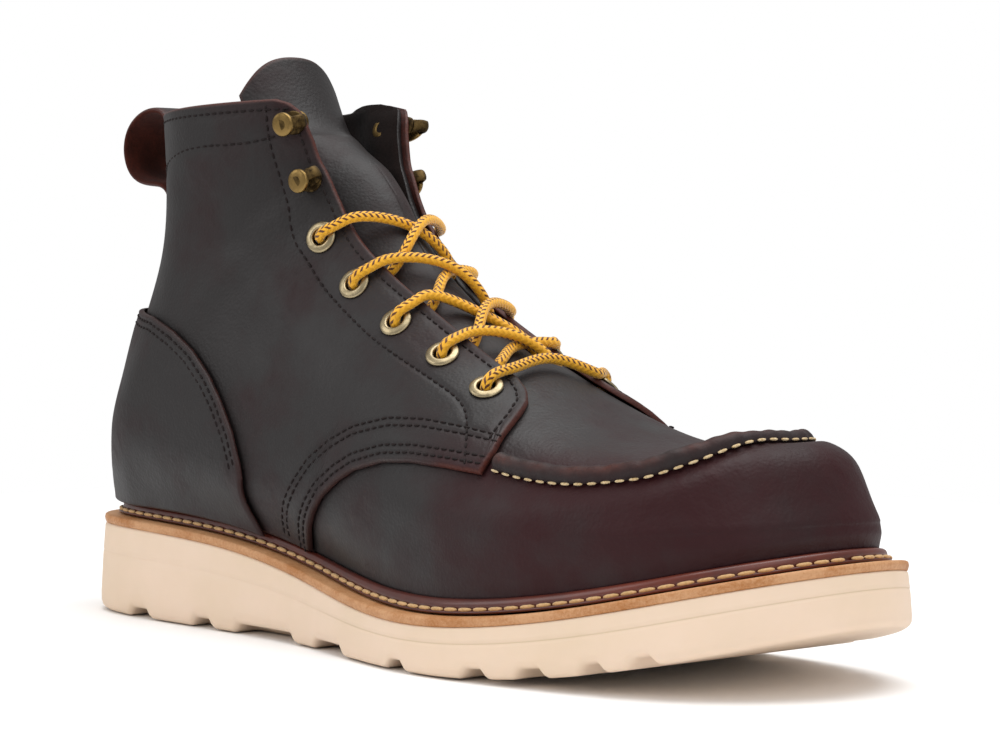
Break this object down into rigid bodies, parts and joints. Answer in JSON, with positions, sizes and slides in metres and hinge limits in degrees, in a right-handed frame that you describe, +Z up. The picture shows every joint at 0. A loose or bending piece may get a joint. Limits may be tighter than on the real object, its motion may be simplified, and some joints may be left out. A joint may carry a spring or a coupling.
{
  "type": "moc toe work boot",
  "caption": "Ankle-high lace-up moc toe work boot for the right foot: dark oiled leather upper, welted leather midsole and cream wedge outsole, open at the collar.",
  "frame": {"origin": "on the flat tread under the middle of the sole's length", "axes": "+X towards the toe, +Z up from the floor, -Y towards the boot's outer side"},
  "size_m": [0.3083, 0.1127, 0.1796],
  "materials": {
    "outsole": "matt, fine grain",
    "midsole": "raw fibrous edge",
    "welt": "smooth, waxed",
    "insole": "plain",
    "vamp": "oiled, grained",
    "quarter": "oiled, grained",
    "seam": "oiled, rubbed",
    "tongue": "soft, smooth",
    "fittings": "antique",
    "lace": "braided"
  },
  "bodies": {
    "root": {"outsole": "outsole", "midsole": "midsole", "welt": "welt", "insole": "insole", "upper": "vamp", "quarter_lateral": "quarter", "quarter_medial": "quarter", "heel_counter": "quarter", "backstay": "quarter", "pull_loop": "quarter", "tongue": "tongue", "moc_seam": "seam", "eyelet_lateral_1": "fittings", "eyelet_lateral_2": "fittings", "eyelet_lateral_3": "fittings", "eyelet_lateral_4": "fittings", "eyelet_lateral_5": "fittings", "eyelet_medial_1": "fittings", "eyelet_medial_2": "fittings", "eyelet_medial_3": "fittings", "eyelet_medial_4": "fittings", "eyelet_medial_5": "fittings", "hook_lateral_1": "fittings", "hook_lateral_2": "fittings", "hook_medial_1": "fittings", "hook_medial_2": "fittings", "lace_bar": "lace", "lace_cross_1": "lace", "lace_cross_2": "lace", "lace_cross_3": "lace", "lace_cross_4": "lace"}
  },
  "joints": []
}
